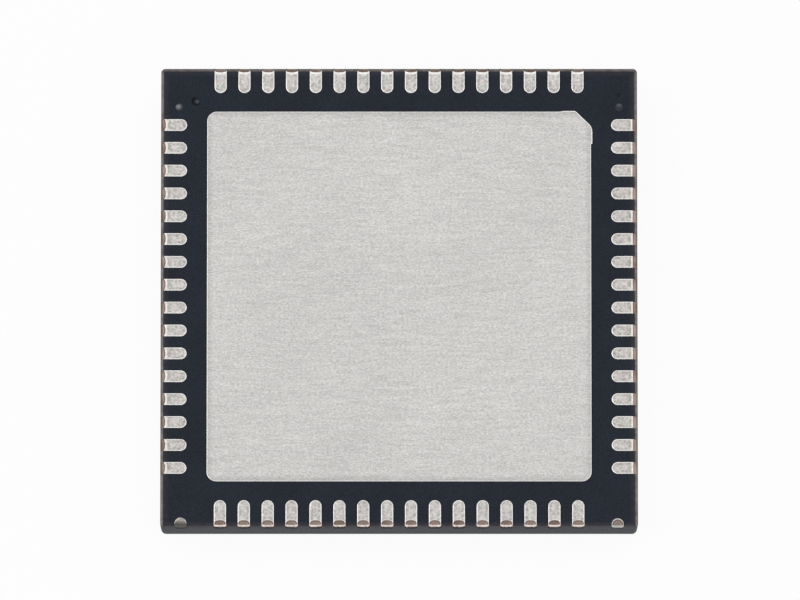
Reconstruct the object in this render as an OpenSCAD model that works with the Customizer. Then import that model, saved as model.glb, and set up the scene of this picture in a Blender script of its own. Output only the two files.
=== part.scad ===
// Leadless surface-mount chip package, lying on its marking face with the solder side up.
// X runs to the right and Y to the back of the solder side, Z = 0 is the marking face.
// All lengths are millimetres.

/* [Body] */
// Side of the square body, measured at the terminal ends
body_size = 8; // [7:0.05:12]
// Overall height, from the marking face to the solder lands
package_h = 0.75; // [0.7:0.01:1]
// How far the solder lands stand above the moulding
standoff = 0.02; // [0.005:0.005:0.05]
// Draft of the side walls between the lead frame and the marking face, in degrees
mould_draft = 5.5; // [2:0.5:12]
// Radius of the upright corners
body_corner_r = 0.07; // [0.06:0.01:0.25]
// Bevel round the edge of the solder side
edge_bevel = 0.04; // [0.01:0.005:0.05]
// Bevel round the edge of the marking face
marking_bevel = 0.03; // [0.01:0.005:0.05]

/* [Lead frame] */
// Thickness of the copper sheet
frame_t = 0.203; // [0.15:0.001:0.254]
// Thickness left where the sheet is half etched
etch_web = 0.1; // [0.06:0.005:0.13]

/* [Terminals] */
// Centre distance of neighbouring terminals
pitch = 0.4; // [0.4:0.05:0.8]
// Least distance from the body's edge to the centre of the first terminal in a row
row_end_clear = 1; // [0.95:0.05:1.6]
// Width of a terminal
terminal_w = 0.215; // [0.16:0.005:0.26]
// Length of the solder land, from the body's edge to its round inner end
terminal_l = 0.44; // [0.35:0.01:0.6]
// How far the half-etched bonding finger reaches past the land
finger_reach = 0.08; // [0.04:0.01:0.12]

/* [End dimples] */
// Length of the dimple in a cut end, measured into the body
dimple_l = 0.07; // [0.04:0.005:0.09]
// Depth of the dimple below the solder land
dimple_d = 0.06; // [0.03:0.005:0.09]
// Metal left beside the dimple
dimple_rim = 0.0125; // [0.01:0.0025:0.04]

/* [Exposed pad] */
// Gap between the terminals' round ends and the exposed pad
pad_gap = 0.335; // [0.25:0.005:0.6]
// Corner radius of the exposed pad
pad_corner_r = 0.165; // [0.05:0.005:0.25]
// Leg of the chamfer that marks the corner of terminal 1
index_chamfer = 0.28; // [0.26:0.01:0.5]
// Width of the half-etched rim that locks the paddle into the moulding
rim_reach = 0.08; // [0.03:0.01:0.12]

/* [Tie bars] */
// Width of a tie bar
tie_w = 0.18; // [0.1:0.01:0.22]
// Distance from the side of the body to the centre of a tie bar's end
tie_inset = 0.34; // [0.3:0.01:0.45]
// Width of the exposed tie bar end at the front edge
tab_w = 0.205; // [0.16:0.005:0.24]
// Length of the exposed tie bar end
tab_l = 0.125; // [0.11:0.005:0.16]
// Diameter of the small exposed foot on each back tie bar
foot_d = 0.13; // [0.08:0.01:0.16]
// Distance from the side of the body to the foot's centre
foot_inset_x = 0.305; // [0.25:0.005:0.35]
// Distance from the back of the body to the foot's centre
foot_inset_y = 0.71; // [0.65:0.005:0.72]

/* [Die] */
// Side of the square silicon die
die_size = 4.2; // [2:0.1:5.4]
// Thickness of the die
die_t = 0.25; // [0.15:0.01:0.35]
// Thickness of the adhesive under the die
attach_t = 0.025; // [0.01:0.005:0.05]
// Width of the adhesive bead that shows round the die
attach_bead = 0.06; // [0:0.01:0.15]

/* [Bond wires] */
// Wire diameter
wire_d = 0.025; // [0.018:0.001:0.033]
// Diameter of the ball bond on the die
ball_d = 0.06; // [0.045:0.005:0.08]
// Height of the ball bond
ball_h = 0.015; // [0.008:0.001:0.025]
// Height of the loop over the die
loop_h = 0.13; // [0.08:0.01:0.2]
// Distance from the die's edge to the centre of its bond pads
bond_inset = 0.08; // [0.05:0.01:0.2]
// Distance from the die's corner to the first bond pad of a row
bond_corner = 0.25; // [0.15:0.01:0.5]
// Distance from the finger's tip to the stitch on it
stitch_inset = 0.14; // [0.1:0.01:0.25]

/* [Moulding marks] */
// Outer diameter of the ring left by an ejector pin on the solder side
ring_d = 0.15; // [0.1:0.01:0.3]
// Width of the ring
ring_w = 0.035; // [0.02:0.005:0.05]
// Depth of the ring
ring_depth = 0.02; // [0.01:0.005:0.04]
// Distance from the left and back edges to the ring's centre
ring_inset = 0.596; // [0.5:0.002:0.7]
// Diameter of the round recess that marks terminal 1 on the marking face
index_d = 0.5; // [0.3:0.05:1]
// Depth of that recess
index_depth = 0.04; // [0.02:0.01:0.08]
// Distance from both edges of the marking face to the recess's centre
index_inset = 0.9; // [0.7:0.05:1.5]

/* [Hidden] */
$fn = 48;
corner_steps = 8;
wire_sides = 6;
cut_over = 0.1;
half = body_size / 2;

// Heights of the faces, from the solder side down to the wire loops
z_land = package_h;
z_face = z_land - standoff;
z_frame = z_land - frame_t;
z_attach = z_frame - attach_t;
z_die = z_attach - die_t;

// The rows hold as many terminals as fit between the corners
per_side = floor((body_size - 2 * row_end_clear) / pitch + 0.001) + 1;
rows = ["front", "right", "back", "left"];

pad_size = body_size - 2 * (terminal_l + pad_gap);
pad_half = pad_size / 2;
marking_half = half - z_frame * tan(mould_draft);
bevel_half = marking_half + marking_bevel * tan(mould_draft);

tin = "#cfcdca";
epoxy = "#2b2f38";
silicon = "#5b6470";
adhesive = "#b9b4a8";
gold = "#d9b44a";

// Places its children on one row, as seen from the front edge
module on_row(name) {
    turn = 90 * search([name], rows)[0];
    rotate([0, 0, turn])
        children();
}

function terminal_x(i) = (i - (per_side - 1) / 2) * pitch;
function bond_x(i) = (i / (per_side - 1) - 0.5) * (die_size - 2 * bond_corner);

module rounded_square(size, r) {
    square([size, size - 2 * r], center = true);
    square([size - 2 * r, size], center = true);
    for (sx = [-1, 1], sy = [-1, 1])
        translate([sx * (size / 2 - r), sy * (size / 2 - r)])
            circle(r);
}

// A strip of sheet from the front edge inward, with a full round inner end
module round_nosed(width, length) {
    straight = length - width / 2;
    translate([0, -half])
        intersection() {
            union() {
                translate([-width / 2, 0])
                    square([width, straight]);
                translate([0, straight])
                    circle(d = width);
            }
            translate([-width, 0])
                square([2 * width, 2 * length]);
        }
}

// A straight strip between two points, rounded at both
module strip(a, b, width) {
    run = b - a;
    translate(a)
        rotate(atan2(run.y, run.x))
            translate([0, -width / 2])
                square([norm(run), width]);
    for (p = [a, b])
        translate(p)
            circle(d = width);
}

// The half-moon dimple etched into a cut end at the front edge
module end_dimple(width) {
    chord = width - 2 * dimple_rim;
    r = (chord * chord / 4 + dimple_l * dimple_l) / (2 * dimple_l);
    translate([0, dimple_l - r - half, z_land - dimple_d])
        cylinder(r = r, h = dimple_d + cut_over);
}

// A terminal as it is moulded in, before its cut end is dimpled
module terminal_blank() {
    translate([0, 0, z_frame])
        linear_extrude(frame_t)
            round_nosed(terminal_w, terminal_l);
    translate([0, 0, z_frame])
        linear_extrude(etch_web)
            round_nosed(terminal_w, terminal_l + finger_reach);
}

module along_row(name) {
    on_row(name)
        for (i = [0:per_side - 1])
            translate([terminal_x(i), 0, 0])
                children();
}

module terminals(name) {
    color(tin)
        along_row(name)
            difference() {
                terminal_blank();
                end_dimple(terminal_w);
            }
}

module pad_outline(grow) {
    reach = pad_half + grow;
    difference() {
        rounded_square(2 * reach, pad_corner_r + grow);
        translate([reach, reach])
            rotate(45)
                square(index_chamfer * sqrt(2), center = true);
    }
}

// The route of the tie bar at one corner, sx and sy being the signs of its quadrant
module tie_bar(sx, sy) {
    root = pad_half - tie_w;
    bend = half - tie_inset;
    strip([sx * root, sy * root], [sx * bend, sy * bend], tie_w);
    translate([sx * bend - tie_w / 2, sy > 0 ? bend : -half])
        square([tie_w, tie_inset]);
}

module foot_arm(sx) {
    foot = [half - foot_inset_x, half - foot_inset_y];
    on_bar = (foot.x + foot.y) / 2;
    strip([sx * on_bar, on_bar], [sx * foot.x, foot.y], foot_d);
}

// The paddle and its tie bars as they are moulded in, before the cut ends are dimpled
module paddle_blank() {
    translate([0, 0, z_frame])
        linear_extrude(frame_t)
            pad_outline(0);
    translate([0, 0, z_frame])
        linear_extrude(etch_web)
            union() {
                pad_outline(rim_reach);
                for (sx = [-1, 1], sy = [-1, 1])
                    tie_bar(sx, sy);
                for (sx = [-1, 1])
                    foot_arm(sx);
            }
    for (sx = [-1, 1]) {
        translate([sx * (half - tie_inset), 0, z_frame])
            linear_extrude(frame_t)
                round_nosed(tab_w, tab_l);
        translate([sx * (half - foot_inset_x), half - foot_inset_y, z_frame])
            cylinder(d = foot_d, h = z_face - z_frame);
    }
}

module die_paddle() {
    color(tin)
        difference() {
            paddle_blank();
            for (sx = [-1, 1])
                translate([sx * (half - tie_inset), 0, 0])
                    end_dimple(tab_w);
        }
}

module die_attach() {
    side = die_size + 2 * attach_bead;
    color(adhesive)
        translate([-side / 2, -side / 2, z_attach])
            cube([side, side, attach_t]);
}

module silicon_die() {
    color(silicon)
        translate([-die_size / 2, -die_size / 2, z_die])
            cube([die_size, die_size, die_t]);
}

// The loop leaves the ball upright, clears the die's edge and slopes down to the finger.
// It is a cubic curve of [distance along the wire, height over the die].
function loop_points(span) = [
    [0, ball_h],
    [0, 1.8 * loop_h],
    [0.45 * span, 1.2 * loop_h],
    [span, -die_t - attach_t]
];
function curve(p, t) =
    pow(1 - t, 3) * p[0] + 3 * pow(1 - t, 2) * t * p[1] + 3 * (1 - t) * t * t * p[2] + pow(t, 3) * p[3];
function heading(p, t) =
    let (d = pow(1 - t, 2) * (p[1] - p[0]) + 2 * (1 - t) * t * (p[2] - p[1]) + t * t * (p[3] - p[2]))
    d / norm(d);

// One ring of points round the wire: upright for the ball, square to the wire on the loop,
// and flat on the finger at the stitch
function ball_ring(r, height) = [
    for (k = [0:wire_sides - 1])
        let (a = 360 * k / wire_sides)
        [-r * sin(a), r * cos(a), z_die - height]
];
function loop_ring(p, t) = [
    for (k = [0:wire_sides - 1])
        let (a = 360 * k / wire_sides, c = curve(p, t), h = heading(p, t), s = wire_d / 2 * sin(a))
        [c.x - s * h.y, wire_d / 2 * cos(a), z_die - c.y - s * h.x]
];
function stitch_ring(p) = [
    for (k = [0:wire_sides - 1])
        let (a = 360 * k / wire_sides, h = heading(p, 1))
        [p[3].x - wire_d / 2 * sin(a) / h.y, wire_d / 2 * cos(a), z_frame]
];

module skin(rings) {
    n = len(rings[0]);
    last = len(rings) - 1;
    polyhedron(
        points = [for (ring = rings) each ring],
        faces = [
            [for (k = [0:n - 1]) n - 1 - k],
            for (j = [0:last - 1], k = [0:n - 1])
                [j * n + k, j * n + (k + 1) % n, (j + 1) * n + (k + 1) % n, (j + 1) * n + k],
            [for (k = [0:n - 1]) last * n + k]
        ]
    );
}

loop_steps = [0.1, 0.24, 0.42, 0.66];

module bond_wire(i) {
    from = [bond_x(i), bond_inset - die_size / 2];
    to = [terminal_x(i), terminal_l + finger_reach - stitch_inset - half];
    run = to - from;
    p = loop_points(norm(run));
    translate(from)
        rotate([0, 0, atan2(run.y, run.x)])
            skin([
                ball_ring(ball_d / 2, 0),
                ball_ring(ball_d / 2, ball_h),
                ball_ring(wire_d / 2, ball_h),
                for (t = loop_steps) loop_ring(p, t),
                stitch_ring(p)
            ]);
}

module bond_wires(name) {
    color(gold)
        on_row(name)
            for (i = [0:per_side - 1])
                bond_wire(i);
}

// One level of the moulding: a square with round corners
function body_ring(reach, r, z) = [
    for (c = [0:3], j = [0:corner_steps])
        let (a = 90 * (c + j / corner_steps), m = 90 * c + 45)
        [sign(cos(m)) * (reach - r) + r * cos(a), sign(sin(m)) * (reach - r) + r * sin(a), z]
];

module ejector_ring() {
    translate([ring_inset - half, half - ring_inset, z_face - ring_depth])
        difference() {
            cylinder(d = ring_d, h = ring_depth + cut_over);
            translate([0, 0, -cut_over])
                cylinder(d = ring_d - 2 * ring_w, h = ring_depth + 3 * cut_over);
        }
}

module index_recess() {
    at = marking_half - index_inset;
    translate([at, at, -cut_over])
        cylinder(d = index_d, h = index_depth + cut_over);
}

module mould_body() {
    color(epoxy)
        difference() {
            skin([
                body_ring(marking_half - marking_bevel, body_corner_r - marking_bevel, 0),
                body_ring(bevel_half, body_corner_r, marking_bevel),
                body_ring(half, body_corner_r, z_frame),
                body_ring(half, body_corner_r, z_face - edge_bevel),
                body_ring(half - edge_bevel, body_corner_r - edge_bevel, z_face)
            ]);
            paddle_blank();
            die_attach();
            silicon_die();
            for (name = rows) {
                along_row(name)
                    terminal_blank();
                bond_wires(name);
            }
            ejector_ring();
            index_recess();
        }
}

mould_body();
die_paddle();
die_attach();
silicon_die();
terminals("front");  // terminals_front
terminals("right");  // terminals_right
terminals("back");  // terminals_back
terminals("left");  // terminals_left
bond_wires("front");  // bond_wires_front
bond_wires("right");  // bond_wires_right
bond_wires("back");  // bond_wires_back
bond_wires("left");  // bond_wires_left
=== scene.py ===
import math

import bmesh
import bpy
from mathutils import Matrix, Vector


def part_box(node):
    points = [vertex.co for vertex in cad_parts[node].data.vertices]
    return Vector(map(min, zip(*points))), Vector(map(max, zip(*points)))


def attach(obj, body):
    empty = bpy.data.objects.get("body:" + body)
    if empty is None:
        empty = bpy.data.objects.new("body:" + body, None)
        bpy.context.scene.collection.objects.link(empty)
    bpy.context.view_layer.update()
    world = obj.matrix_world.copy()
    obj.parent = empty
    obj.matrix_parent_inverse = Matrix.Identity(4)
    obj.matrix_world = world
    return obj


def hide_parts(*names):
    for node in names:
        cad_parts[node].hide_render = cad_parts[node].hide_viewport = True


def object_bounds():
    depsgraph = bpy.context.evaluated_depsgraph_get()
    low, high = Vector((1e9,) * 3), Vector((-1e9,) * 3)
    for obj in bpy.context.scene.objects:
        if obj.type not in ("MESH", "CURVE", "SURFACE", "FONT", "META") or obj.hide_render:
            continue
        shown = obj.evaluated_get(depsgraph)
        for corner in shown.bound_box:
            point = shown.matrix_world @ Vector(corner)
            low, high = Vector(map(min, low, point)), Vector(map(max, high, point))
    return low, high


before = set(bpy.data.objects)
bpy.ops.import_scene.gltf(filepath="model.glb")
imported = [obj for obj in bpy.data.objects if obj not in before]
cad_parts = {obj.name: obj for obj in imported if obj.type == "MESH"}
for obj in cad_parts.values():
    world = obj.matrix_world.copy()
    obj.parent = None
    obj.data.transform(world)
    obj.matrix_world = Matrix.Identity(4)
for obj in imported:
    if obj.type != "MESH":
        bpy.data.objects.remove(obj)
cad_low, cad_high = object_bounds()


# Die paddle: the middle of the lead frame, etched from thin copper sheet together with its four
# tie bars. The moulding grips its half-etched rim; the faces left bare are plated with matt tin.
# Lengths are millimetres, and every finished mesh is scaled to metres once.
MM = 0.001
half = cad_high.x / MM
z_land = cad_high.z / MM
z_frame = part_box("die_paddle")[0].z / MM
z_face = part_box("mould_body")[1].z / MM
etch_web = 0.1
z_web = z_frame + etch_web

# The finishes that the lead frame carries, in the order of the coatings further down.
# The darker bands of tin inside each land's rim carry painted shade.
TIN, SOFT, SHADE_BAND, RIM, DIMPLE, CUT_END, FILMED, TAB_SHADE = range(8)

corner_steps = 12
sharpest = 0.0005


def quarter(steps):
    """Angles from 0 to a right angle."""
    return [math.pi / 2 * k / steps for k in range(steps + 1)]


def neighbours(corners):
    """Each corner of a closed outline, between the one before it and the one after it."""
    return zip(corners[-1:] + corners[:-1], corners, corners[1:] + corners[:1])


def filleted(corners):
    """A closed outline through (x, y, radius) corners, each rounded to its radius."""
    outline = []
    for before, here, after in neighbours(corners):
        point = Vector(here[:2])
        r = here[2]
        back = (Vector(before[:2]) - point).normalized()
        ahead = (Vector(after[:2]) - point).normalized()
        opening = back.angle(ahead)
        centre = point + (back + ahead).normalized() * r / math.sin(opening / 2)
        start = point + back * r / math.tan(opening / 2) - centre
        sweep = math.pi - opening
        if back.cross(ahead) > 0:
            sweep = -sweep
        for k in range(corner_steps + 1):
            outline.append(centre + Matrix.Rotation(sweep * k / corner_steps, 2) @ start)
    return outline


def shrunk(corners, depth):
    """The corners of the same outline moved inward by depth all round."""
    moved = []
    for before, here, after in neighbours(corners):
        point = Vector(here[:2])
        a = (point - Vector(before[:2])).normalized()
        b = (Vector(after[:2]) - point).normalized()
        point += Vector((-a.y - b.y, a.x + b.x)) * depth / (1 + a.dot(b))
        r = here[2] - math.copysign(depth, a.cross(b))
        moved.append((point.x, point.y, max(sharpest, r)))
    return moved


def at_height(outline, z):
    """A flat outline as a ring of points at one height."""
    return [Vector((p.x, p.y, z)) for p in outline]


def skin(mesh, rings, finishes, last_side=None):
    """A closed skin through rings of equally many points, with a finish for each strip between two.

    The strip's last side, where each ring closes, may have a finish of its own."""
    rows = [[mesh.verts.new(p) for p in ring] for ring in rings]
    count = len(rings[0])
    for low, high, strip_finish in zip(rows, rows[1:], finishes):
        for i in range(count):
            j = (i + 1) % count
            face = mesh.faces.new((low[i], low[j], high[j], high[i]))
            face.material_index = strip_finish if last_side is None or j else last_side
    mesh.faces.new(rows[0][::-1]).material_index = finishes[0]
    mesh.faces.new(rows[-1]).material_index = finishes[-1]
    return [v for row in rows for v in row]


def slab(mesh, outline, low, high, slab_finish=TIN):
    """A flat plate with sharp edges."""
    skin(mesh, [at_height(outline, low), at_height(outline, high)], [slab_finish])


weld = 1e-5
splinter = 1e-4
crease = math.radians(35)


def shape(name, finishes, build, *sizes):
    """An object in millimetres, made by calling build on an empty mesh."""
    mesh = bmesh.new()
    build(mesh, *sizes)
    bmesh.ops.remove_doubles(mesh, verts=mesh.verts, dist=weld)
    bmesh.ops.recalc_face_normals(mesh, faces=mesh.faces)
    made = bpy.data.objects.new(name, bpy.data.meshes.new(name))
    mesh.to_mesh(made.data)
    mesh.free()
    for made_finish in finishes:
        made.data.materials.append(made_finish)
    bpy.context.scene.collection.objects.link(made)
    return made


def combined(base, others, operation):
    """Joins the others to base, or cuts them out of it, as solids."""
    for other in others:
        step = base.modifiers.new(other.name, "BOOLEAN")
        step.operation = operation
        step.solver = "EXACT"
        step.object = other
    ready = bpy.context.evaluated_depsgraph_get()
    result = bpy.data.meshes.new_from_object(base.evaluated_get(ready))
    base.modifiers.clear()
    base.data = result
    for other in others:
        bpy.data.objects.remove(other)


def seated(piece, node):
    """Clears a piece of splinters, scales it to metres and puts it in the place of its solid."""
    mesh = bmesh.new()
    mesh.from_mesh(piece.data)
    bmesh.ops.remove_doubles(mesh, verts=mesh.verts, dist=splinter)
    bmesh.ops.delete(mesh, geom=[v for v in mesh.verts if not v.link_faces], context="VERTS")
    bmesh.ops.scale(mesh, vec=(MM, MM, MM), verts=mesh.verts)
    mesh.to_mesh(piece.data)
    mesh.free()
    piece.data.shade_smooth()
    piece.data.set_sharp_from_angle(angle=crease)
    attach(piece, "root")
    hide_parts(node)


# The exposed pad is a hair longer than wide. One corner is chamfered to mark terminal 1, and beside
# the chamfer the edge stands a little proud.
pad_half = 3.228
pad_half_y = 3.238
pad_corner_r = 0.165
index_chamfer = 0.25
chamfer_foot_r = 0.2
chamfer_head_r = 0.06
proud_side = 0.022
proud_back = 0.012
proud_foot_y = 2.66
proud_head_x = 2.7
side_ramp = 0.012
back_ramp = 0.06
ramp_r = 0.006
rim_in = 0.016
rim_drop = 0.018
rim_steps = 8
cap_in = 0.002
web_reach = 0.08


def rim_inset(drop):
    """How far the rounded rim lies inside the edge, at a depth below the land."""
    climb = max(0, 1 - drop / rim_drop)
    return rim_in * (1 - math.sqrt(1 - climb * climb))


def pad_top(mesh):
    """The exposed pad, down to the underside of the frame."""
    side = pad_half + proud_side
    back = pad_half_y + proud_back
    cut = pad_half + pad_half_y - index_chamfer
    corners = [
        (-pad_half, -pad_half_y, pad_corner_r),
        (pad_half, -pad_half_y, pad_corner_r),
        (pad_half, proud_foot_y, ramp_r),
        (side, proud_foot_y + side_ramp, ramp_r),
        (side, cut - side, chamfer_foot_r),
        (cut - back, back, chamfer_head_r),
        (proud_head_x + back_ramp, back, ramp_r),
        (proud_head_x, pad_half_y, ramp_r),
        (-pad_half, pad_half_y, pad_corner_r),
    ]
    rings = [at_height(filleted(corners), z_frame)]
    for a in quarter(rim_steps):
        drop = rim_drop * (1 - math.sin(a))
        rings.append(at_height(filleted(shrunk(corners, rim_inset(drop))), z_land - drop))
    rings.append(at_height(filleted(shrunk(corners, rim_in + cap_in)), z_land))
    skin(mesh, rings, [TIN] + [RIM] * rim_steps + [TIN])


def web(mesh):
    """The half-etched rim round the foot of the pad."""
    side = pad_half + web_reach
    end = pad_half_y + web_reach
    r = pad_corner_r + web_reach
    corners = [
        (-side, -end, r),
        (side, -end, r),
        (side, end - index_chamfer, r),
        (side - index_chamfer, end, r),
        (-side, end, r),
    ]
    slab(mesh, filleted(corners), z_frame, z_web)


# The tie bars held the paddle in its frame until the packages were cut apart. The back ones carry
# a small round foot each, which shows level with the moulding.
tie_w = 0.18
tie_inset = 0.34
tie_bend = half - tie_inset
foot_d = 0.13
foot_inset_x = 0.305
foot_inset_y = 0.685
foot_x = half - foot_inset_x
foot_y = half - foot_inset_y
arm_w = 0.11
corner_signs = ((-1, -1), (1, -1), (1, 1), (-1, 1))
nearly_half = 0.499
nearly_whole = 0.999
hair = 0.0005


def strip(mesh, start, end, width):
    """A straight half-etched bar, rounded at both ends."""
    full_round = nearly_half * width
    along = (end - start).normalized() * width / 2
    aside = Vector((-along.y, along.x))
    corners = [start - along - aside, end + along - aside, end + along + aside, start - along + aside]
    slab(mesh, filleted([(p.x, p.y, full_round) for p in corners]), z_frame, z_web)


def quadrant(x, y, sx, sy):
    """A point of the back right quarter of the body, mirrored to another quarter."""
    return Vector((sx * x, sy * y))


def tie_bar(mesh, sx, sy):
    """A half-etched bar from under the pad towards a corner of the body."""
    root = pad_half - tie_w
    strip(mesh, quadrant(root, root, sx, sy), quadrant(tie_bend, tie_bend, sx, sy), tie_w)


def tie_bar_end(mesh, sx, sy, end):
    """The straight end of a tie bar, towards the edge of the body, a hair below the tab's underside."""
    low, high = sorted((sy * tie_bend, sy * end))
    left = sx * tie_bend - tie_w / 2
    right = sx * tie_bend + tie_w / 2
    outline = [Vector(p) for p in ((left, low), (right, low), (right, high), (left, high))]
    slab(mesh, outline, z_frame - hair, z_web, CUT_END)


def foot_arm(mesh, sx):
    """The half-etched arm from a back tie bar to its foot."""
    on_bar = (foot_x + foot_y) / 2
    strip(mesh, quadrant(on_bar, on_bar, sx, 1), quadrant(foot_x, foot_y, sx, 1), arm_w)


def foot_post(mesh, sx):
    """The small exposed foot of a back tie bar, level with the moulding."""
    at = quadrant(foot_x, foot_y, sx, 1)
    r = foot_d / 2
    full_round = nearly_whole * r
    square = [(at.x + x * r, at.y + y * r, full_round) for x, y in corner_signs]
    slab(mesh, filleted(square), z_frame, z_face, FILMED)


# The front tie bars end in tabs shaped like the terminals: a land with a round nose and a dimple in
# its cut end. They were cut with the front terminals, a little inside the wall. The left tab is
# longer, and its dimple and cut end carry painted shade, darkest at the cut.
tab_w = 0.205
tab_roundness = 2.1
tab_lip = 0.006
front_recess = 0.01
TABS = {
    # The left tab's dimple and cut end take copper with painted shade.
    -1: dict(length=0.128, trim=0.02, spread=0.096, reach=0.09, bowl=TAB_SHADE, end=TAB_SHADE),
    1: dict(length=0.115, trim=0.008, spread=0.088, reach=0.087, bowl=DIMPLE, end=SHADE_BAND),
}
# Widths of the bands of painted shade inside each land's rim.
shade_band_w = 0.02
soft_w = 0.026
under_round_w = 0.035
under_round_h = 0.09
under_steps = 5
nose_steps = 28
dimple_d = 0.06
dimple_floor = 0.35
dimple_steps = 7
moon_steps = 32
lip_drop = 0.006
cut_over = 0.05


def nose_level(width, length, shoulder, inset, start, z):
    """One level of a strip that runs from its cut end at start to a full round nose.

    Its sides have a point at the shoulder, where the nose of the land begins."""
    r = width / 2 - inset
    straight = length - width / 2
    turns = [math.pi * (1 - k / nose_steps) for k in range(nose_steps + 1)]
    arc = [Vector((r * math.cos(a), straight + r * math.sin(a), z)) for a in turns]
    left = [Vector((-r, y, z)) for y in (start, shoulder)]
    right = [Vector((r, y, z)) for y in (shoulder, start)]
    return left + arc + right


def finger_levels(width, length, reach, start):
    """The levels below a land: a half-etched finger, rounded underneath, up to the land's foot."""
    tip = length + reach
    shoulder = length - width / 2
    rings = []
    for a in quarter(under_steps):
        rise = under_round_h * (1 - math.cos(a))
        inset = under_round_w * (1 - math.sin(a))
        rings.append(nose_level(width, tip, shoulder, inset, start, z_frame + rise))
    rings.append(nose_level(width, tip, shoulder, 0, start, z_web))
    rings.append(nose_level(width, length, shoulder, 0, start, z_web))
    return rings


def land(mesh, place, width, length, reach, trim, rim_finish, end_finish):
    """A land with a rounded rim, a half-etched finger under it and a cut end rounded by trim.

    Each band of its flat top starts a hair further in, which keeps their corners apart."""
    shoulder = length - width / 2
    rings = finger_levels(width, length, reach, 0)
    finishes = [TIN] * (len(rings) - 1)
    for a in quarter(rim_steps):
        drop = trim * (1 - math.sin(a))
        start = trim * (1 - math.cos(a))
        rings.append(nose_level(width, length, shoulder, rim_inset(drop), start, z_land - drop))
        finishes.append(rim_finish)
    inset = rim_in
    start = trim + cap_in
    for band_w, top_finish in ((cap_in, rim_finish), (shade_band_w, SHADE_BAND), (soft_w, SOFT), (cap_in, TIN)):
        inset += band_w
        rings.append(nose_level(width, length, shoulder, inset, start, z_land))
        finishes.append(top_finish)
        start += hair
    made = skin(mesh, rings, finishes, end_finish)
    bmesh.ops.transform(mesh, matrix=place, verts=made)


def land_pocket(mesh, place, width, length, reach):
    """The room that a land takes in the moulding, open at the cut end and the top."""
    rings = finger_levels(width, length, reach, -cut_over)
    shoulder = length - width / 2
    rings.append(nose_level(width, length, shoulder, 0, -cut_over, z_land + cut_over))
    made = skin(mesh, rings, [TIN] * (len(rings) - 1))
    bmesh.ops.transform(mesh, matrix=place, verts=made)


def half_moon(spread, reach, roundness, z):
    """Half a rounded oval at a cut end, closed outside the body."""
    points = [Vector((-spread, -cut_over, z))]
    for k in range(moon_steps + 1):
        a = math.pi * (1 - k / moon_steps)
        x = math.copysign(abs(math.cos(a)) ** (2 / roundness), math.cos(a))
        y = max(0, math.sin(a)) ** (2 / roundness)
        points.append(Vector((spread * x, reach * y, z)))
    return points + [Vector((spread, -cut_over, z))]


def dimple(mesh, place, spread, reach, roundness, lip, rim_finish, bowl_finish):
    """The hollow etched into a cut end: a flat floor, a curved wall and a rounded lip."""
    rings = []
    for a in quarter(dimple_steps):
        share = dimple_floor + (1 - dimple_floor) * math.sin(a)
        sunk = lip_drop + (dimple_d - lip_drop) * math.cos(a)
        rings.append(half_moon(spread * share, reach * share, roundness, z_land - sunk))
    finishes = [bowl_finish] * dimple_steps + [rim_finish] * 2
    for z in (z_land, z_land + cut_over):
        rings.append(half_moon(spread + lip, reach + lip, roundness, z))
    made = skin(mesh, rings, finishes)
    bmesh.ops.transform(mesh, matrix=place, verts=made)


def tab_place(sx):
    """Where a tab's cut end lies at the front edge."""
    return Matrix.Translation((sx * tie_bend, front_recess - half, 0))


def paint(red, green, blue):
    """A colour given in the 0 to 255 steps of a screen, as the light it reflects."""
    steps = [c / 255 for c in (red, green, blue)]
    return [c / 12.92 if c <= 0.04045 else ((c + 0.055) / 1.055) ** 2.4 for c in steps] + [1]


def grey(value):
    """A grey that reflects a share of the light."""
    return [value, value, value, 1]


def filled(tree, shader, inputs):
    """Sets a shader's inputs; each takes a plain value or the output of another node."""
    for name, value in inputs.items():
        if isinstance(value, bpy.types.NodeSocket):
            tree.links.new(value, shader.inputs[name])
        else:
            shader.inputs[name].default_value = value


def add_node(tree, kind, inputs, **settings):
    """A shader node with its inputs filled."""
    made = tree.nodes.new("ShaderNode" + kind)
    for name, value in settings.items():
        setattr(made, name, value)
    filled(tree, made, inputs)
    return made


def sums(tree, operation, first, second=0.0):
    """The result of a sum on one or two values."""
    return add_node(tree, "Math", {0: first, 1: second}, operation=operation).outputs[0]


def position(tree):
    """A point's place on the part: as a whole, then across, along and up."""
    place = add_node(tree, "TexCoord", {}).outputs["Object"]
    return [place, *add_node(tree, "SeparateXYZ", {0: place}).outputs]


def from_middle(tree):
    """The distances of a point from the middle of the body, across and along."""
    return [sums(tree, "ABSOLUTE", axis) for axis in position(tree)[1:3]]


def away_from(tree, place, x, y, z):
    """The distance of a place from a point given in millimetres."""
    inputs = {0: place, 1: (x * MM, y * MM, z * MM)}
    return add_node(tree, "VectorMath", inputs, operation="DISTANCE").outputs["Value"]


def grain(tree, size, stretch=(1, 1, 1), detail=3):
    """Noise whose grains are about size millimetres across, drawn out by stretch."""
    place = add_node(tree, "TexCoord", {})
    scale = [1 / (size * MM * s) for s in stretch]
    spread = add_node(tree, "Mapping", {"Vector": place.outputs["Object"], "Scale": scale})
    inputs = {"Vector": spread.outputs[0], "Scale": 1, "Detail": detail}
    return add_node(tree, "TexNoise", inputs).outputs[0]


def tones(tree, factor, *stops):
    """Colours spread over a factor; each stop is a place from 0 to 1 and a colour."""
    ramp = add_node(tree, "ValToRGB", {"Fac": factor})
    points = ramp.color_ramp.elements
    while len(points) < len(stops):
        points.new(0.5)
    for point, (place, colour) in zip(points, stops):
        point.position = place
        point.color = colour
    return ramp.outputs[0]


def level(tree, factor, low, high, start=0.3, end=0.7):
    """A plain value that runs from low to high as the factor goes from start to end."""
    inputs = {"Value": factor, "From Min": start, "From Max": end, "To Min": low, "To Max": high}
    return add_node(tree, "MapRange", inputs).outputs[0]


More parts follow.
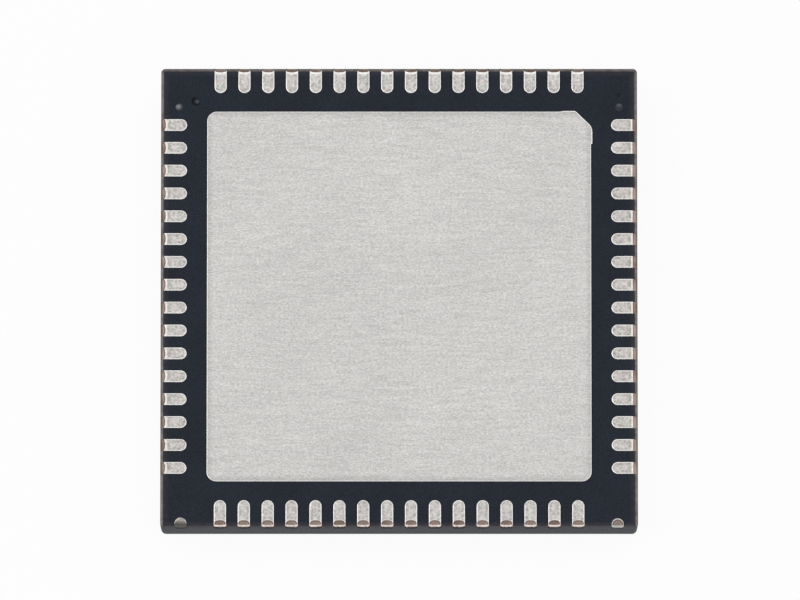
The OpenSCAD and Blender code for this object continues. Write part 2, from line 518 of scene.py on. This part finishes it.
def between(tree, distance, low, high, start, end):
    """A plain value that runs from low to high between two distances in millimetres."""
    return level(tree, distance, low, high, start * MM, end * MM)


def mixed(tree, factor, first, second, blend="MIX"):
    """Two colours mixed by a factor."""
    inputs = {0: factor, 6: first, 7: second}
    return add_node(tree, "Mix", inputs, data_type="RGBA", blend_type=blend).outputs[2]


def shaded(tree, base, shade):
    """The base colour made darker, lighter or tinted by a shade."""
    return mixed(tree, 1, base, shade, "MULTIPLY")


def relief(tree, height, depth, under=None):
    """A bump of the given depth in millimetres."""
    inputs = {"Height": height, "Distance": depth * MM, "Strength": 1}
    if under:
        inputs["Normal"] = under
    return add_node(tree, "Bump", inputs).outputs[0]


def finish(name, paint_it):
    """A material whose shader paint_it fills in."""
    made = bpy.data.materials.new(name)
    made.use_nodes = True
    paint_it(made.node_tree, made.node_tree.nodes["Principled BSDF"])
    return made


def rolled_tin(tree, shader):
    """Matt tin over rolled copper: fine grain drawn out along the rolling, duller near the edge."""
    dull_edge_w = 0.11
    fine = grain(tree, 0.028, stretch=(1.45, 0.75, 1), detail=1)
    streak = grain(tree, 0.032, stretch=(11, 1, 1), detail=2)
    cloud = grain(tree, 1.5, detail=2)
    out = sums(tree, "MAXIMUM", *from_middle(tree))
    base = tones(tree, fine, (0.25, paint(177, 176, 174)), (0.75, paint(211, 210, 208)))
    base = shaded(tree, base, level(tree, streak, 0.935, 1.05))
    base = shaded(tree, base, level(tree, cloud, 0.96, 1.02))
    base = shaded(tree, base, between(tree, out, 1, 0.83, pad_half - dull_edge_w, pad_half - rim_in))
    bump = relief(tree, fine, 0.0004)
    rough = level(tree, streak, 0.46, 0.56)
    filled(tree, shader, {"Base Color": base, "Metallic": 1, "Roughness": rough, "Normal": bump})


def soft_tin(tree, shader):
    """Tin with painted shade, between the darker band and the middle of a land."""
    fine = grain(tree, 0.035, detail=1)
    base = tones(tree, fine, (0.3, paint(157, 154, 151)), (0.7, paint(204, 201, 198)))
    base = shaded(tree, base, level(tree, grain(tree, 0.12), 0.9, 1.1))
    filled(tree, shader, {"Base Color": base, "Metallic": 1, "Roughness": level(tree, fine, 0.42, 0.52)})


def shade_band_tin(tree, shader):
    """Darker tin, painted shade in a narrow band inside each rim; it also covers the rims of the tabs."""
    fine = grain(tree, 0.035, detail=1)
    base = tones(tree, fine, (0.3, paint(156, 153, 150)), (0.7, paint(200, 197, 194)))
    base = shaded(tree, base, level(tree, grain(tree, 0.12), 0.86, 1.2))
    filled(tree, shader, {"Base Color": base, "Metallic": 1, "Roughness": level(tree, fine, 0.45, 0.55)})


def rim_tin(tree, shader):
    """Smooth tin on the rounded edge of the pad with a painted highlight, brightest on the lip round the
    chamfered corner.
    """
    lip_start = pad_half + proud_foot_y
    lip_blur = 0.1
    lip_foot = (lip_start - lip_blur, lip_start + lip_blur)
    fine = grain(tree, 0.05)
    across, along = position(tree)[1:3]
    to_corner = sums(tree, "ADD", across, along)
    base = tones(tree, fine, (0.3, paint(200, 199, 197)), (0.7, paint(218, 217, 215)))
    # Painted highlight on the lip round the chamfered corner.
    base = shaded(tree, base, between(tree, to_corner, 1, 1.3, *lip_foot))
    filled(tree, shader, {"Base Color": base, "Metallic": 1, "Roughness": level(tree, fine, 0.3, 0.42)})


def bare_copper(tree, shader):
    """Copper that the dimple left open, browned by the oven and palest at the right, with painted
    shade: darkest at the back, and darker at the very edge of the left and right sides."""
    outer_row = (half - 0.2, half - 0.15)
    edge_shade_span = (half - 0.03, half - 0.008)
    fine = grain(tree, 0.03)
    patch = grain(tree, 0.35)
    across, along = position(tree)[1:3]
    to_side = sums(tree, "ABSOLUTE", across)
    base = tones(tree, patch, (0.35, paint(124, 105, 95)), (0.5, paint(142, 126, 118)),
                 (0.65, paint(154, 139, 132)))
    base = shaded(tree, base, level(tree, fine, 0.82, 1))
    base = shaded(tree, base, between(tree, across, 1, 1.25, *outer_row))
    # Painted shade: darker towards the back row.
    base = shaded(tree, base, between(tree, along, 1, 0.72, *outer_row))
    # Painted shade at the very edge, where the dimple's floor falls away to the wall.
    base = shaded(tree, base, between(tree, to_side, 1, 0.45, *edge_shade_span))
    rough = level(tree, fine, 0.45, 0.6)
    filled(tree, shader, {"Base Color": base, "Metallic": 0.8, "Roughness": rough})


def cut_copper(tree, shader):
    """The cut end: copper with tin smeared over it by the blade."""
    smear = grain(tree, 0.04, stretch=(1, 1, 5))
    base = tones(tree, smear, (0.3, paint(220, 197, 186)), (0.6, paint(246, 235, 228)))
    filled(tree, shader, {"Base Color": base, "Metallic": 1, "Roughness": level(tree, smear, 0.35, 0.5)})


def filmed_tin(tree, shader):
    """Metal under a film of resin, thin over the middle of a foot and thicker on the right foot."""
    right_shift = 0.034
    thinnest = 0.012
    across = position(tree)[1]
    side, end = from_middle(tree)
    shift = between(tree, across, 0, right_shift * MM, -half, half)
    on_face = add_node(tree, "CombineXYZ", {0: side, 1: sums(tree, "SUBTRACT", end, shift)}).outputs[0]
    away = away_from(tree, on_face, foot_x + thinnest, foot_y + thinnest, 0)
    clear = between(tree, away, 1, 0, 0, foot_d / 2)
    clear = sums(tree, "MULTIPLY", clear, between(tree, across, 1, 0.3, -half, half))
    clear = sums(tree, "MULTIPLY", clear, level(tree, grain(tree, 0.05), 0.45, 1))
    base = mixed(tree, clear, paint(40, 43, 50), paint(158, 160, 164))
    filled(tree, shader, {"Base Color": base, "Roughness": 0.6, "Specular IOR Level": 0.25})


def tab_shade_copper(tree, shader):
    """Copper-brown at the left tab's dimple and cut end, with painted shade, darkest at the cut."""
    tab_shade_l = 0.1
    along = position(tree)[2]
    from_cut = between(tree, along, 0, 1, -half, tab_shade_l - half)
    base = tones(tree, from_cut, (0.2, paint(84, 80, 78)), (0.6, paint(132, 124, 119)),
                 (0.9, paint(186, 180, 175)))
    base = shaded(tree, base, level(tree, grain(tree, 0.03), 0.9, 1.05))
    filled(tree, shader, {"Base Color": base, "Roughness": 0.6, "Specular IOR Level": 0.25})


coatings = [rolled_tin, soft_tin, shade_band_tin, rim_tin, bare_copper, cut_copper, filmed_tin, tab_shade_copper]
plated = [finish(coating.__name__, coating) for coating in coatings]


def joined_bars(back_end):
    """The rim under the pad, the tie bars and the feet."""
    bars = [shape("web", plated, web)]
    for sx, tab in TABS.items():
        for sy, end in ((-1, half - tab["length"] / 2), (1, back_end)):
            bars.append(shape("bar", plated, tie_bar, sx, sy))
            bars.append(shape("bar_end", plated, tie_bar_end, sx, sy, end))
        bars.append(shape("arm", plated, foot_arm, sx))
        bars.append(shape("foot", plated, foot_post, sx))
    return bars


paddle = shape("paddle", plated, pad_top)
bars = joined_bars(half)
hollows = []
for sx, tab in TABS.items():
    at = tab_place(sx)
    bars.append(shape("tab", plated, land, at, tab_w, tab["length"], 0, tab["trim"], SHADE_BAND, tab["end"]))
    moon = (tab["spread"], tab["reach"], tab_roundness, tab_lip, SHADE_BAND, tab["bowl"])
    hollows.append(shape("tab_dimple", plated, dimple, at, *moon))
combined(paddle, bars, "UNION")
combined(paddle, hollows, "DIFFERENCE")
seated(paddle, "die_paddle")


# Terminals: sixteen along each side, etched from the same sheet. Each is a land with a round nose,
# a half-etched finger for its wire and a dimple in the end where it was cut from the frame.
# The moulding holds them; the lands are plated with the pad.
pitch = 0.4
per_side = 16
terminal_w = 0.21
terminal_l = 0.44
finger_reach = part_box("terminals_front")[1].y / MM + half - terminal_l
# The front ends are cut square and their dimples lie between two rims; the other ends are trimmed
# round with the moulding's edge and their dimples run over the whole width.
ROWS = {
    "front": dict(recess=0.02, trim=0.012, spread=0.0925, reach=0.068, roundness=2.8, lip=0.006),
    "right": dict(recess=0, trim=0.034, spread=0.122, reach=0.078, roundness=7, lip=0.03),
    "back": dict(recess=0, trim=0.034, spread=0.122, reach=0.076, roundness=2.4, lip=0.038),
    "left": dict(recess=0, trim=0.034, spread=0.122, reach=0.08, roundness=2.4, lip=0.032),
}


def along_row(mesh, row, build, *sizes):
    """Builds the same form at each terminal of a row."""
    around = Matrix.Rotation(math.pi / 2 * list(ROWS).index(row), 4, "Z")
    first = -(per_side - 1) / 2 * pitch
    end = ROWS[row]["recess"] - half
    for i in range(per_side):
        build(mesh, around @ Matrix.Translation((first + i * pitch, end, 0)), *sizes)


def mottled_tin(tree, shader):
    """Tin on the small lands: mottled, with faint warm, green and blue stains and a tan band of painted
    shade behind the dimples of the left and right rows."""
    behind_dimple = (half - 0.185, half - 0.14)
    tan = paint(226, 222, 214)
    fine = grain(tree, 0.035, detail=1)
    stain_and_shade = grain(tree, 0.15, detail=2)
    cloud = grain(tree, 0.09)
    tint = tones(tree, stain_and_shade, (0.34, paint(192, 194, 188)), (0.45, paint(197, 194, 190)),
                 (0.56, paint(200, 192, 189)), (0.68, paint(194, 193, 194)))
    base = shaded(tree, tint, level(tree, cloud, 0.92, 1.04))
    base = shaded(tree, base, level(tree, fine, 0.77, 1.18))
    side, end = from_middle(tree)
    # Painted shade: a tan band behind the dimples of the left and right rows.
    tan_shade_mask = between(tree, side, 0, 1, *behind_dimple)
    tan_shade_mask = sums(tree, "MULTIPLY", tan_shade_mask, sums(tree, "GREATER_THAN", side, end))
    base = mixed(tree, tan_shade_mask, base, shaded(tree, base, tan))
    bump = relief(tree, cloud, 0.002, relief(tree, fine, 0.001))
    filled(tree, shader, {"Base Color": base, "Metallic": 1, "Roughness": 0.42, "Normal": bump})


def bright_rim(tree, shader):
    """Smooth tin on the rounded edges of the lands, painted paler than the flats as a highlight."""
    fine = grain(tree, 0.05)
    base = tones(tree, fine, (0.3, paint(208, 205, 202)), (0.7, paint(238, 236, 233)))
    filled(tree, shader, {"Base Color": base, "Metallic": 1, "Roughness": level(tree, fine, 0.3, 0.42)})


terminal_finishes = list(plated)
terminal_finishes[TIN] = finish("mottled_tin", mottled_tin)
terminal_finishes[RIM] = finish("bright_rim", bright_rim)
for row, cut in ROWS.items():
    length = terminal_l - cut["recess"]
    blank = (terminal_w, length, finger_reach, cut["trim"], RIM, CUT_END)
    moon = (cut["spread"], cut["reach"], cut["roundness"], cut["lip"], RIM, DIMPLE)
    terminals = shape(row + "_terminals", terminal_finishes, along_row, row, land, *blank)
    hollow = shape(row + "_dimples", terminal_finishes, along_row, row, dimple, *moon)
    combined(terminals, [hollow], "DIFFERENCE")
    seated(terminals, "terminals_" + row)


# Die attach: a thin bed of silver-filled adhesive, dispensed wet on the paddle and cured in an
# oven. It shows as a narrow bead round the die.
def die_adhesive(tree, shader):
    flakes = grain(tree, 0.02)
    base = tones(tree, flakes, (0.35, paint(150, 146, 138)), (0.65, paint(205, 202, 196)))
    bump = relief(tree, flakes, 0.002)
    filled(tree, shader, {"Base Color": base, "Metallic": 0.5, "Roughness": 0.55, "Normal": bump})


def dressed(node, made):
    """Gives a solid that stays as it is its finish."""
    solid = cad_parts[node]
    solid.data.materials.clear()
    solid.data.materials.append(made)


dressed("die_attach", finish("die_adhesive", die_adhesive))


# Silicon die: the circuit itself, sawn from a thinned and polished wafer. It lies on the adhesive
# with its bond pads along all four edges.
def silicon(tree, shader):
    blocks = grain(tree, 0.5, detail=0)
    film = tones(tree, blocks, (0.35, paint(70, 84, 104)), (0.5, paint(104, 92, 110)),
                 (0.65, paint(92, 108, 100)))
    rough = level(tree, blocks, 0.12, 0.22)
    filled(tree, shader, {"Base Color": film, "Metallic": 0.6, "Roughness": rough})


dressed("silicon_die", finish("silicon", silicon))


# Bond wires: fine drawn gold, one from each bond pad to its terminal. Each starts in a pressed
# ball on the die, loops over its edge and ends in a stitch on the finger.
def drawn_gold(tree, shader):
    lines = grain(tree, 0.01)
    base = tones(tree, lines, (0.3, paint(224, 178, 84)), (0.7, paint(246, 208, 118)))
    filled(tree, shader, {"Base Color": base, "Metallic": 1, "Roughness": level(tree, lines, 0.18, 0.3)})


gold = finish("drawn_gold", drawn_gold)
for row in ROWS:
    dressed("bond_wires_" + row, gold)


# Moulding: black epoxy filled with glass, pressed round the lead frame in a heated mould. Its walls
# lean for release from the mould, and the trimmed edge round the solder side is paler.
# An ejector pin left a ring beside one corner, and terminal 1 has a round mark on the far face.
end_draft = math.radians(5.5)
side_draft = math.radians(1.5)
marking_end = half - z_frame * math.tan(end_draft)
marking_side = half - z_frame * math.tan(side_draft)
marking_round = 0.05
marking_corner_r = 0.085
body_corner_r = 0.07
edge_in = 0.055
edge_drop = 0.04
edge_steps = 6
face_margin = 0.01


def body_level(side, end, r, z):
    """One level of the body, a rectangle with rounded corners."""
    return at_height(filleted([(sx * side, sy * end, r) for sx, sy in corner_signs]), z)


def body_shell(mesh):
    """The outside of the moulding, from the marking face up to the solder side."""
    flat_in = marking_round + face_margin
    flat_r = marking_corner_r - marking_round
    rings = [body_level(marking_side - flat_in, marking_end - flat_in, flat_r, 0)]
    for a in quarter(edge_steps):
        rise = marking_round * (1 - math.cos(a))
        inset = marking_round * (1 - math.sin(a))
        side = marking_side + rise * math.tan(side_draft) - inset
        end = marking_end + rise * math.tan(end_draft) - inset
        rings.append(body_level(side, end, marking_corner_r - inset, rise))
    rings.append(body_level(half, half, body_corner_r, z_frame))
    for a in quarter(edge_steps):
        reach = half - edge_in * (1 - math.cos(a))
        drop = edge_drop * (1 - math.sin(a))
        rings.append(body_level(reach, reach, body_corner_r - half + reach, z_face - drop))
    flat = half - edge_in - face_margin
    rings.append(body_level(flat, flat, body_corner_r - edge_in, z_face))
    skin(mesh, rings, [0] * (len(rings) - 1))


ring_x = -3.4
ring_y = 3.424
ring_d = 0.15
ring_w = 0.05
ring_depth = 0.014
ring_dome = 0.05
ring_hub = 0.2
ring_turns = 40
ring_steps = 8


def turned(mesh, profile, x, y):
    """A solid turned about an upright axis from (radius, height) points, from the bottom up."""
    rings = []
    for r, z in profile:
        turns = [2 * math.pi * k / ring_turns for k in range(ring_turns)]
        rings.append([Vector((x + r * math.cos(a), y + r * math.sin(a), z)) for a in turns])
    skin(mesh, rings, [0] * (len(rings) - 1))


def ring_cutter(mesh):
    """The groove of the ejector ring and the low dome inside it."""
    outer = ring_d / 2
    floor = outer - ring_w / 2
    hub = ring_hub * floor
    groove = []
    for k in range(ring_steps + 1):
        share = k / ring_steps
        sunk = ring_dome + (1 - ring_dome) * (1 - math.cos(math.pi * share)) / 2
        groove.append((hub + (floor - hub) * share, z_face - ring_depth * sunk))
    for a in quarter(ring_steps)[1:]:
        groove.append((floor + ring_w / 2 * math.sin(a), z_face - ring_depth * math.cos(a)))
    turned(mesh, groove + [(outer, z_face + cut_over)], ring_x, ring_y)


dent_x = 3.69
dent_y = 3.52
dent_d = 0.12
dent_depth = 0.012
dent_floor = 0.1


def dent_cutter(mesh):
    """A shallow dent that the mould left beside the right foot."""
    shares = [dent_floor + (1 - dent_floor) * k / ring_steps for k in range(ring_steps + 1)]
    bowl = [(dent_d / 2 * s, z_face - dent_depth * (1 - s * s)) for s in shares]
    turned(mesh, bowl + [(dent_d / 2, z_face + cut_over)], dent_x, dent_y)


index_d = 0.5
index_depth = 0.04
index_inset = 0.9


def index_cutter(mesh):
    """The round mark of terminal 1 in the marking face."""
    at = marking_end - index_inset
    turned(mesh, [(index_d / 2, -cut_over), (index_d / 2, index_depth)], at, at)


seat_near = 0.001
seat_over = 0.004


def solid_pocket(mesh, node, *seats):
    """The room that a solid takes, run on a little way past the heights at which it is seated."""
    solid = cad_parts[node].data
    corners = []
    for vertex in solid.vertices:
        at = vertex.co / MM
        if min(abs(at.z - seat) for seat in seats) < seat_near:
            at.z += seat_over
        corners.append(mesh.verts.new(at))
    for face in solid.polygons:
        mesh.faces.new([corners[i] for i in face.vertices])


side_wear_w = 0.042
back_wear_w = 0.054


def ring_and_dent_light(tree, base):
    """The base colour with painted light at the ejector ring and the dent: painted shade in the ring's
    groove, open at the back right, a painted highlight on the ring's dome and painted shade in the dent."""
    shade_left = 0.014
    shade_r = 0.09
    unshaded_from = 0.015
    unshaded_to = 0.055
    shade_back = 0.015
    dent_shade = (0.01, 0.05)
    highlight_off = 0.01
    highlight_edge = (0.008, 0.042)
    place, across, along = position(tree)[:3]
    # Painted shade in the ring's groove, open at the back right.
    away = away_from(tree, place, ring_x - shade_left, ring_y, z_face)
    stain_and_shade = tones(tree, between(tree, away, 0, 1, 0, shade_r), (0.4, grey(0.95)), (0.62, grey(0.18)),
                  (0.78, grey(0.18)), (0.95, grey(1)))
    to_back = sums(tree, "ADD", across, along)
    unshaded = between(tree, to_back, 0, 1, ring_x + ring_y + unshaded_from, ring_x + ring_y + unshaded_to)
    base = shaded(tree, base, mixed(tree, unshaded, stain_and_shade, grey(1)))
    # Painted shade at the bottom of the dent.
    away = away_from(tree, place, dent_x, dent_y + shade_back, z_face)
    base = shaded(tree, base, between(tree, away, 0.4, 1, *dent_shade))
    # Painted highlight on the ring's dome.
    away = away_from(tree, place, ring_x + highlight_off, ring_y - highlight_off, z_face)
    return mixed(tree, between(tree, away, 1, 0, *highlight_edge), base, paint(84, 88, 96))


def trimmed(tree):
    """How much of the trimmed edge's paler colour shows: wear all at the sides and the back, with painted
    shade at the very edge of the sides, and in front only a faint painted highlight along the top of the
    wall.
    """
    worn_side = half - side_wear_w
    worn_back = half - back_wear_w
    blur = 0.008
    edge_shade_span = (half - 0.022, half - 0.006)
    fade_from = half - 0.15
    front_highlight_span = (0.07 - half, 0.005 - half)
    across, along, up = position(tree)[1:]
    to_side = sums(tree, "ABSOLUTE", across)
    side = between(tree, to_side, 0, 1, worn_side - blur, worn_side + blur)
    # Painted shade at the very edge of the sides.
    side = sums(tree, "MULTIPLY", side, between(tree, to_side, 1, 0.55, *edge_shade_span))
    far_end = between(tree, along, 0, 1, worn_back - blur, worn_back + blur)
    outward = sums(tree, "MAXIMUM", to_side, along)
    fading = between(tree, outward, 0, 0.09, fade_from, worn_back)
    # Painted highlight along the front edge, fading down the wall.
    front_highlight = between(tree, along, 0, 0.13, *front_highlight_span)
    front_highlight = sums(tree, "MULTIPLY", front_highlight, between(tree, up, 0, 1, z_frame / 2, z_web))
    upper = between(tree, up, 0, 1, z_web - blur, z_web + blur)
    wear = sums(tree, "MAXIMUM", sums(tree, "MAXIMUM", side, far_end), fading)
    return sums(tree, "MAXIMUM", sums(tree, "MULTIPLY", wear, upper), front_highlight)


def moulded_epoxy(tree, shader):
    """Blue-black epoxy with fine specks of filler; the trimmed edge is worn grey, with painted shade that
    darkens it at the back.
    """
    back_shade_span = (half - 0.1, half - back_wear_w)
    speck = grain(tree, 0.018)
    cloud = grain(tree, 0.6)
    along = position(tree)[2]
    base = tones(tree, speck, (0.35, paint(27, 32, 41)), (0.7, paint(43, 48, 58)))
    base = shaded(tree, base, level(tree, cloud, 0.8, 1))
    worn = tones(tree, grain(tree, 0.12), (0.35, paint(114, 103, 101)), (0.65, paint(142, 135, 136)))
    # Painted shade: the worn edge darker at the back.
    worn = shaded(tree, worn, between(tree, along, 1, 0.6, *back_shade_span))
    filled(tree, shader, {
        "Base Color": mixed(tree, trimmed(tree), ring_and_dent_light(tree, base), worn),
        "Roughness": level(tree, speck, 0.5, 0.62),
        "Specular IOR Level": 0.12,
        "Normal": relief(tree, speck, 0.0012),
    })


moulding = shape("moulding", [], body_shell)
pockets = [shape("pocket_pad", [], pad_top)] + joined_bars(half + cut_over)
for sx, tab in TABS.items():
    pockets.append(shape("pocket_tab", [], land_pocket, tab_place(sx), tab_w, tab["length"], 0))
for row, cut in ROWS.items():
    room = (terminal_w, terminal_l - cut["recess"], finger_reach)
    pockets.append(shape("pocket_" + row, [], along_row, row, land_pocket, *room))
die_low, die_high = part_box("silicon_die")
pockets.append(shape("pocket_adhesive", [], solid_pocket, "die_attach", z_frame))
pockets.append(shape("pocket_die", [], solid_pocket, "silicon_die", die_high.z / MM))
for row in ROWS:
    wires = "bond_wires_" + row
    pockets.append(shape("pocket_wires", [], solid_pocket, wires, z_frame, die_low.z / MM))
for name, cutter in (("ring", ring_cutter), ("dent", dent_cutter), ("index", index_cutter)):
    pockets.append(shape(name, [], cutter))
combined(moulding, pockets, "DIFFERENCE")
moulding.data.materials.clear()
moulding.data.materials.append(finish("moulded_epoxy", moulded_epoxy))
seated(moulding, "mould_body")


# Studio: a plain white table under a light tent with four soft lamps, and a camera far off with a
# long lens, looking down on the solder side as the picture does. Table and lamps are in metres.
picture_px = 800
px_per_mm = 59.6
chip_right_px = -0.9
chip_up_px = 4.0
elevation = math.radians(73.5)
lens = 1250
sensor = 36

camera = bpy.data.objects.new("camera", bpy.data.cameras.new("camera"))
bpy.context.scene.collection.objects.link(camera)
bpy.context.scene.camera = camera
camera.data.lens = lens
camera.data.sensor_width = sensor
camera.data.clip_start = 0.01
camera.data.clip_end = 10
back = Vector((0, -math.cos(elevation), math.sin(elevation)))
up = Vector((0, math.sin(elevation), math.cos(elevation)))
aim = Vector((-chip_right_px / px_per_mm * MM, 0, z_land * MM)) - up * chip_up_px / px_per_mm * MM
camera_far = picture_px / px_per_mm * MM * lens / sensor
camera.location = aim + back * camera_far
camera.rotation_euler = (-back).to_track_quat("-Z", "Y").to_euler()


def seen_directly(tree):
    """1 for what the eye, a reflection or a clear body looks at, and 0 for the light on the object."""
    path = add_node(tree, "LightPath", {}).outputs
    seen = sums(tree, "MAXIMUM", path["Is Camera Ray"], path["Is Glossy Ray"])
    return sums(tree, "MAXIMUM", seen, path["Is Transmission Ray"])


table_half = 3
table_drop = 0.000002
table_lift = 0.93
table = bpy.data.objects.new("table", bpy.data.meshes.new("table"))
corners = [(x * table_half, y * table_half, -table_drop) for x, y in corner_signs]
table.data.from_pydata(corners, [], [(0, 1, 2, 3)])
bpy.context.scene.collection.objects.link(table)


def white_table(tree, shader):
    """Matt white card, lifted to white where it is looked at, that still shows the chip's shadow."""
    weave = grain(tree, 30)
    filled(tree, shader, {
        "Base Color": tones(tree, weave, (0, grey(0.88)), (1, grey(0.9))),
        "Roughness": 0.9,
        "Specular IOR Level": 0,
    })
    white = add_node(tree, "Emission", {"Color": grey(1), "Strength": 1})
    lift = sums(tree, "MULTIPLY", seen_directly(tree), table_lift)
    both = add_node(tree, "MixShader", {0: lift, 1: shader.outputs[0], 2: white.outputs[0]})
    tree.links.new(both.outputs[0], tree.nodes["Material Output"].inputs["Surface"])


table.data.materials.append(finish("white_table", white_table))
table.data.materials[0].cycles.emission_sampling = "NONE"

tent_level = 0.55
world = bpy.data.worlds.new("tent")
bpy.context.scene.world = world
world.use_nodes = True
tent = world.node_tree.nodes["Background"]
strength = level(world.node_tree, seen_directly(world.node_tree), tent_level, 1, 0, 1)
filled(world.node_tree, tent, {"Color": grey(1), "Strength": strength})

# Each lamp has its turn round the chip in degrees, counted from the front, and its radiance.
LAMPS = {"left": (-90, 1.8), "right": (90, 0.95), "front": (0, 0.4), "back": (180, 0.7)}
lamp_far = 0.08
lamp_w = 0.08
lamp_h = 0.048
lamp_rise = math.radians(35)
for side, (turn, radiance) in LAMPS.items():
    lamp = bpy.data.objects.new(side + "_lamp", bpy.data.lights.new(side + "_lamp", "AREA"))
    lamp.data.shape = "RECTANGLE"
    lamp.data.size = lamp_w
    lamp.data.size_y = lamp_h
    lamp.data.energy = radiance * math.pi * lamp_w * lamp_h
    a = math.radians(turn)
    level_out = math.cos(lamp_rise)
    out = Vector((math.sin(a) * level_out, -math.cos(a) * level_out, math.sin(lamp_rise)))
    lamp.location = out * lamp_far
    lamp.rotation_euler = out.to_track_quat("Z", "Y").to_euler()
    lamp.visible_camera = False
    bpy.context.scene.collection.objects.link(lamp)

bpy.context.scene.view_settings.view_transform = "Standard"
